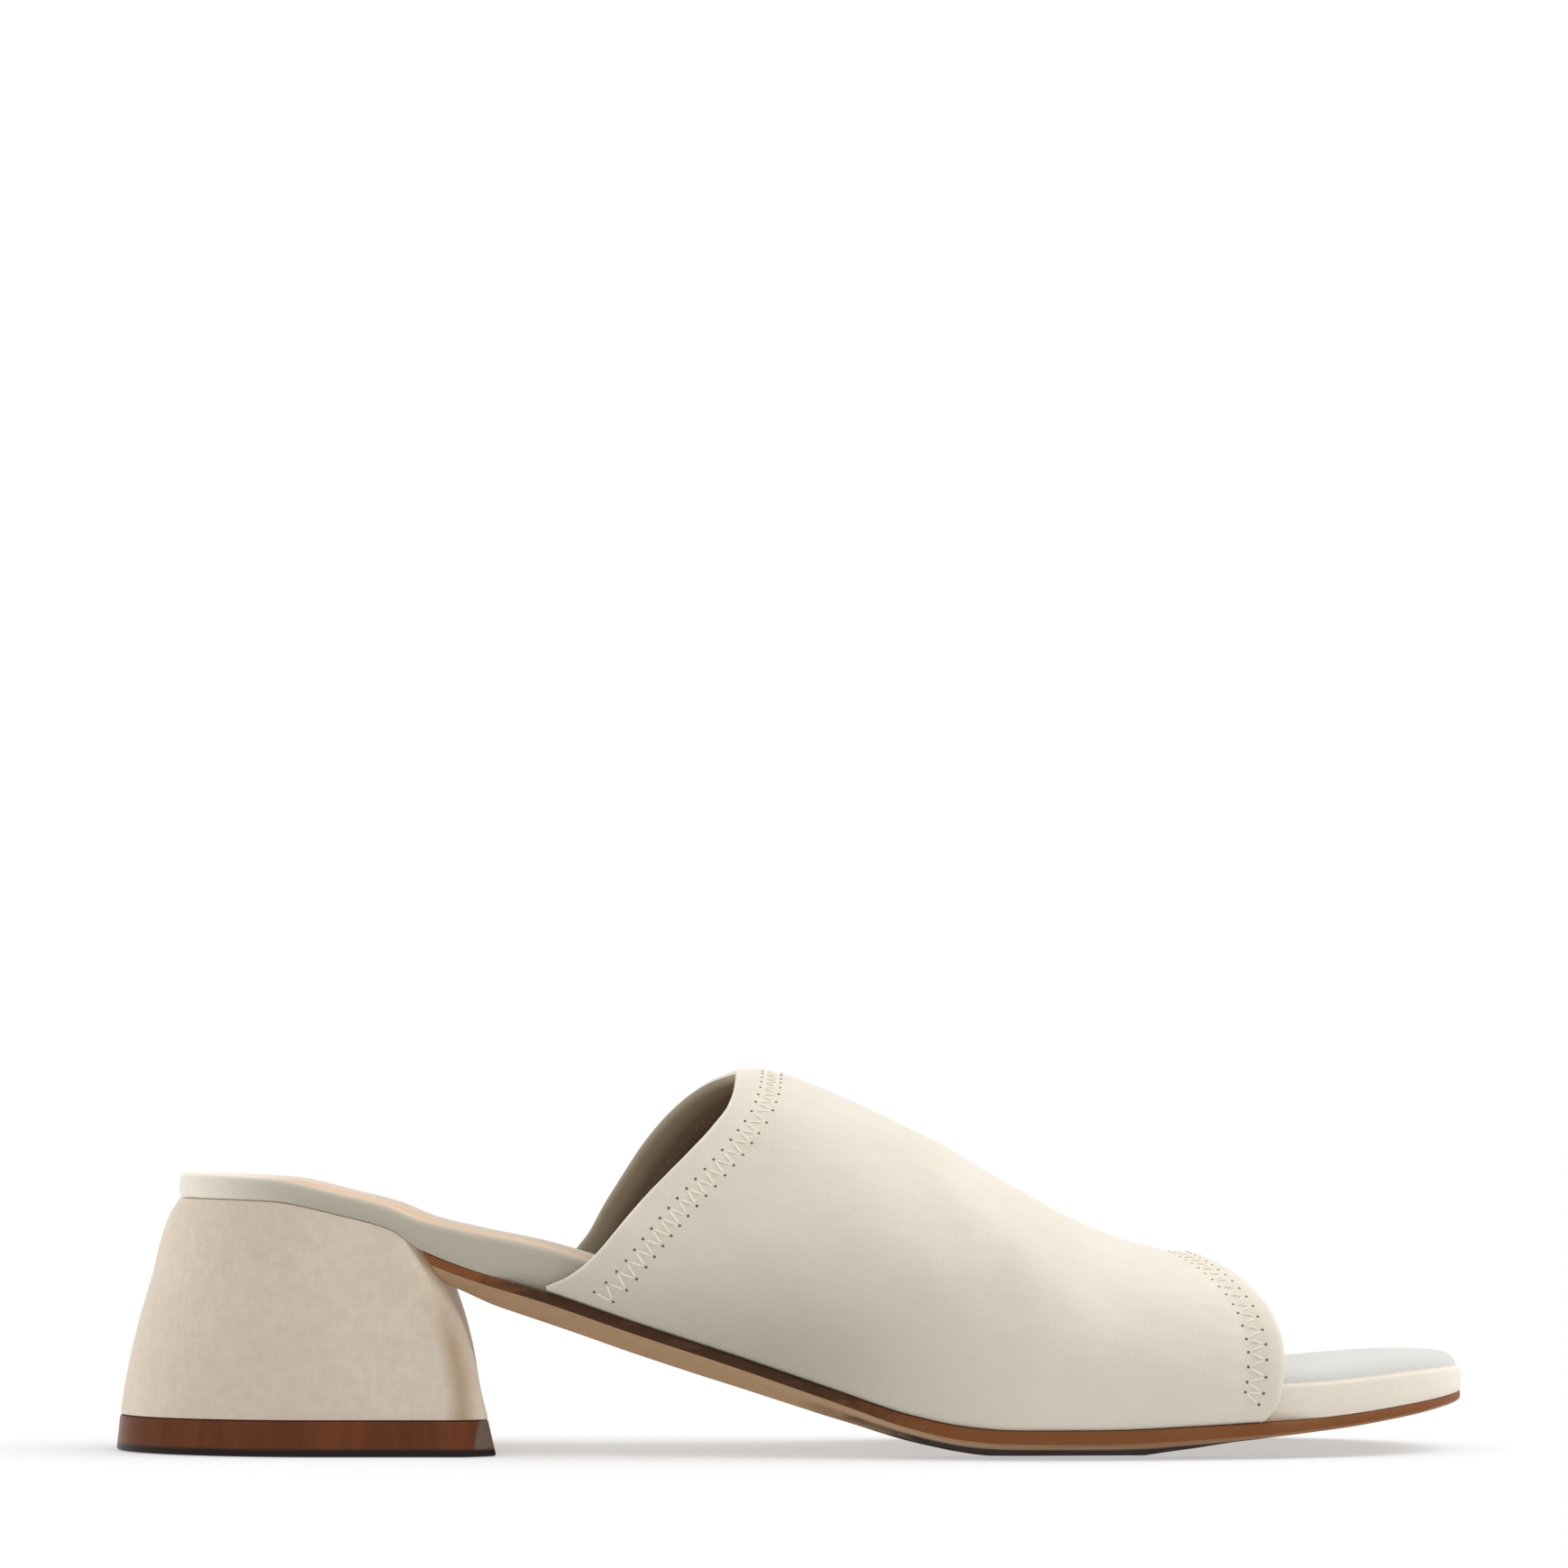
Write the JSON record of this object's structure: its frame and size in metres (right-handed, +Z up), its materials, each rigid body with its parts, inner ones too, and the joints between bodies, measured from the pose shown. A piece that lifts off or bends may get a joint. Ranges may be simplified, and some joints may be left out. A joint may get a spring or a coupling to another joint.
{
  "type": "block heel mule sandal",
  "caption": "Slip-on open-toe mule with a one-piece nubuck vamp, wrapped footbed, bevelled leather outsole and a flared covered block heel.",
  "frame": {"origin": "on the floor, under the middle of the shoe's overall box", "axes": "+X to the toe, +Y to the inner side of the right foot, +Z up"},
  "size_m": [0.2516, 0.0854, 0.071],
  "materials": {
    "nubuck": "soft matte nubuck, pale greige",
    "footbed_wrap": "soft matte nubuck, pale greige",
    "sock_leather": "smooth light tan lining leather",
    "sole_leather": "semi-matte brown edge, tan bevel",
    "heel_cover": "soft matte nubuck, warm beige",
    "lift": "glossy dark brown"
  },
  "bodies": {
    "root": {"upper": "nubuck", "footbed": "footbed_wrap", "sock": "sock_leather", "outsole": "sole_leather", "heel": "heel_cover", "top_lift": "lift"}
  },
  "joints": []
}
